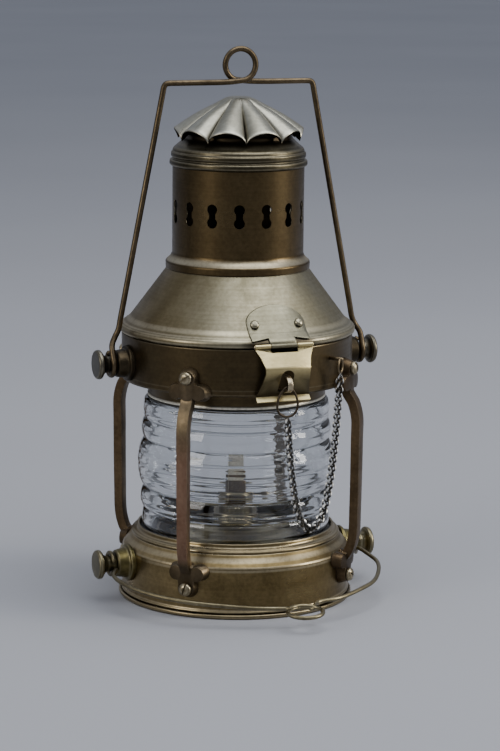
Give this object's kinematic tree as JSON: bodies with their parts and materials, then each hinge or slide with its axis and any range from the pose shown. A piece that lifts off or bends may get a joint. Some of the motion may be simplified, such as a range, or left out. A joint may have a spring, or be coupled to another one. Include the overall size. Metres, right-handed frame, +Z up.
{
  "type": "ship lantern",
  "caption": "Round metal ship's lantern with a ribbed clear lens, vented chimney, hinged hood with a hasp, oil burner and wire bails above and below.",
  "frame": {"origin": "middle of the underside of the base plate", "axes": "+Z up along the lantern's axis, -Y towards the hasp, X along the pivots of the two bails"},
  "size_m": [0.193, 0.1974, 0.3546],
  "materials": {
    "body_brass": "brown patinated brass, brushed",
    "dark_brass": "dark brown patinated cast brass",
    "pale_brass": "grey-green weathered brass sheet",
    "worn_brass": "bright worn brass",
    "lens_glass": "clear pressed glass",
    "gasket_rubber": "black rubber",
    "wick_cotton": "woven cotton"
  },
  "bodies": {
    "lantern": {"base_plate": "body_brass", "base_drum": "body_brass", "lens_seat_ring": "body_brass", "lens_retainer_ring": "body_brass", "upper_band": "body_brass", "upper_boss_left": "body_brass", "upper_boss_right": "body_brass", "lower_boss_left": "body_brass", "lower_boss_right": "body_brass", "lower_knob_left": "body_brass", "lower_knob_right": "body_brass", "hinge_leaf_band": "body_brass", "font_collar": "body_brass", "burner_shell": "body_brass", "burner_disc": "body_brass", "upright_front_left": "dark_brass", "upright_front_right": "dark_brass", "upright_rear_left": "dark_brass", "upright_rear_right": "dark_brass", "lock_ring": "dark_brass", "hasp_chain": "dark_brass", "oil_font": "dark_brass", "upright_screw_1": "worn_brass", "upright_screw_2": "worn_brass", "upright_screw_3": "worn_brass", "upright_screw_4": "worn_brass", "upright_screw_5": "worn_brass", "upright_screw_6": "worn_brass", "upright_screw_7": "worn_brass", "upright_screw_8": "worn_brass", "hinge_pin": "worn_brass", "hasp_staple": "worn_brass", "band_hinge_rivet_left": "worn_brass", "band_hinge_rivet_right": "worn_brass", "chain_eye": "worn_brass", "wick_tube": "worn_brass", "lens_glass": "lens_glass", "lens_gasket_lower": "gasket_rubber", "lens_gasket_upper": "gasket_rubber"},
    "hood": {"hood_cone": "body_brass", "chimney": "body_brass", "chimney_cap": "body_brass", "crown": "pale_brass", "hasp_upper_leaf": "body_brass", "hasp_pin": "worn_brass", "hinge_leaf_hood": "body_brass", "hasp_rivet_left": "worn_brass", "hasp_rivet_right": "worn_brass", "hood_hinge_rivet_left": "worn_brass", "hood_hinge_rivet_right": "worn_brass"},
    "hasp": {"hasp_leaf": "pale_brass"},
    "pivot_screws": {"upper_knob_left": "body_brass", "upper_knob_right": "body_brass"},
    "bail": {"upper_bail": "body_brass"},
    "bottom_bail": {"lower_bail": "body_brass"},
    "winder": {"wick_winder": "worn_brass"},
    "wick": {"wick": "wick_cotton"}
  },
  "joints": [
    {"name": "hood_hinge", "type": "hinge", "parent": "lantern", "child": "hood", "pos_m": [0, 0.07765, 0.1746], "axis": [-1, 0, 0], "range_deg": [0, 95], "deforming": ["lock_ring", "hasp_chain"]},
    {"name": "hasp_swing", "type": "hinge", "parent": "hood", "child": "hasp", "pos_m": [0, -0.07765, 0.1746], "axis": [-1, 0, 0], "range_deg": [0, 180], "deforming": ["lock_ring", "hasp_chain"]},
    {"name": "pivot_turn", "type": "hinge", "parent": "lantern", "child": "pivot_screws", "pos_m": [0, 0, 0.1552], "axis": [1, 0, 0], "range_deg": [0, 95]},
    {"name": "bail_swing", "type": "hinge", "parent": "pivot_screws", "child": "bail", "pos_m": [0, 0, 0.1552], "axis": [1, 0, 0], "range_deg": [-108, 40]},
    {"name": "bottom_bail_swing", "type": "hinge", "parent": "lantern", "child": "bottom_bail", "pos_m": [0, 0, 0.025], "axis": [1, 0, 0], "range_deg": [-22, 190]},
    {"name": "winder_turn", "type": "hinge", "parent": "lantern", "child": "winder", "pos_m": [0, 0.0044, 0.0575], "axis": [-1, 0, 0], "range_deg": [-80, 80]},
    {"name": "wick_slide", "type": "slide", "parent": "lantern", "child": "wick", "axis": [0, 0, 1], "range_m": [-0.0042, 0.0042]}
  ],
  "couplings": [
    {"joint": "pivot_turn", "follows": "hood_hinge", "ratio": 1},
    {"joint": "wick_slide", "follows": "winder_turn", "m_per_rad": 0.0028}
  ]
}
